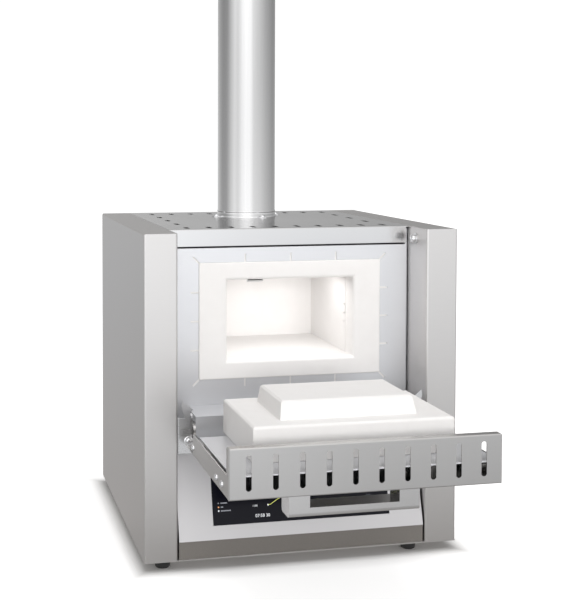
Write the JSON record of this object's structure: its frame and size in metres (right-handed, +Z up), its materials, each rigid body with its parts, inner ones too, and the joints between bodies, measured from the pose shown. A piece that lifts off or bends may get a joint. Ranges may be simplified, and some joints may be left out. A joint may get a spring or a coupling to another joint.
{
  "type": "muffle furnace",
  "caption": "Bench muffle furnace: insulated chamber with heated side plates, flap door on levers that opens downwards, sloping touch console, tall flue.",
  "frame": {"origin": "centre of the box's bottom face, on the floor under the furnace with its door open", "axes": "+Z up, -Y towards the door, +X to the right as seen from the front"},
  "size_m": [0.385, 0.5764, 0.722],
  "materials": {
    "case_side": "satin light-grey stainless sheet with fine texture",
    "case_top": "glossy brushed stainless sheet",
    "case_sheet": "fine-ground stainless sheet",
    "door_sheet": "fine-ground stainless sheet",
    "console": "satin stainless sheet",
    "plinth_paint": "matt brown-grey",
    "fibre": "vacuum-formed ceramic fibre, matt",
    "insulation": "light microporous insulation board",
    "heating_alloy": "oxidised resistance alloy",
    "inner_steel": "plain inner steel",
    "flue_steel": "drawn stainless tube",
    "fastener": "turned stainless",
    "display_glass": "black cover glass",
    "black_plastic": "moulded black",
    "black_gloss": "moulded black",
    "rubber": "black rubber"
  },
  "bodies": {
    "furnace": {"base_plate": "case_side", "bracket_screws": "fastener", "case_supports": "inner_steel", "catch_bush": "fastener", "control_panel": "console", "display_module": "black_plastic", "display_pane": "display_glass", "exhaust_duct": "inner_steel", "feet": "rubber", "fibre_collar": "fibre", "floor_plate": "fibre", "flue_screws": "fastener", "flue_tube": "flue_steel", "front_sheet": "case_sheet", "heating_elements": "heating_alloy", "heating_plate_left": "fibre", "heating_plate_right": "fibre", "hinge_bracket_left": "case_sheet", "hinge_bracket_right": "case_sheet", "hinge_pins": "fastener", "hinge_shelf": "case_sheet", "inner_case": "inner_steel", "insulation_bottom": "insulation", "insulation_front": "insulation", "insulation_left": "insulation", "insulation_rear": "insulation", "insulation_right": "insulation", "mains_inlet": "black_plastic", "plinth": "plinth_paint", "power_relay": "black_plastic", "rear_panel": "case_side", "rear_screws": "fastener", "roof_plate": "fibre", "side_panel_left": "case_side", "side_panel_right": "case_side", "stop_pegs": "fastener", "switch_frame": "black_plastic", "terminal_block": "black_plastic", "thermocouple": "insulation", "top_cover": "case_top"},
    "door": {"door_block": "fibre", "door_cap": "door_sheet", "door_handle": "fastener", "door_lever_left": "door_sheet", "door_lever_right": "door_sheet", "door_pan": "door_sheet", "door_panel": "door_sheet", "door_plug": "fibre", "door_rivets": "fastener", "handle_screws": "fastener", "lever_spacers": "fastener"},
    "catch": {"catch_plunger": "fastener"},
    "rocker": {"mains_rocker": "black_gloss"}
  },
  "joints": [
    {"name": "door_hinge", "type": "hinge", "parent": "furnace", "child": "door", "pos_m": [0, -0.06625, 0.1615], "axis": [-1, 0, 0], "range_deg": [0, 90]},
    {"name": "catch_slide", "type": "slide", "parent": "furnace", "child": "catch", "axis": [1, 0, 0], "range_m": [0, 0.005], "stiffness_N_per_m": 500, "springref_m": -0.002},
    {"name": "rocker_pivot", "type": "hinge", "parent": "furnace", "child": "rocker", "pos_m": [-0.06, 0.28075, 0.06], "axis": [1, 0, 0], "range_deg": [0, 14]}
  ]
}
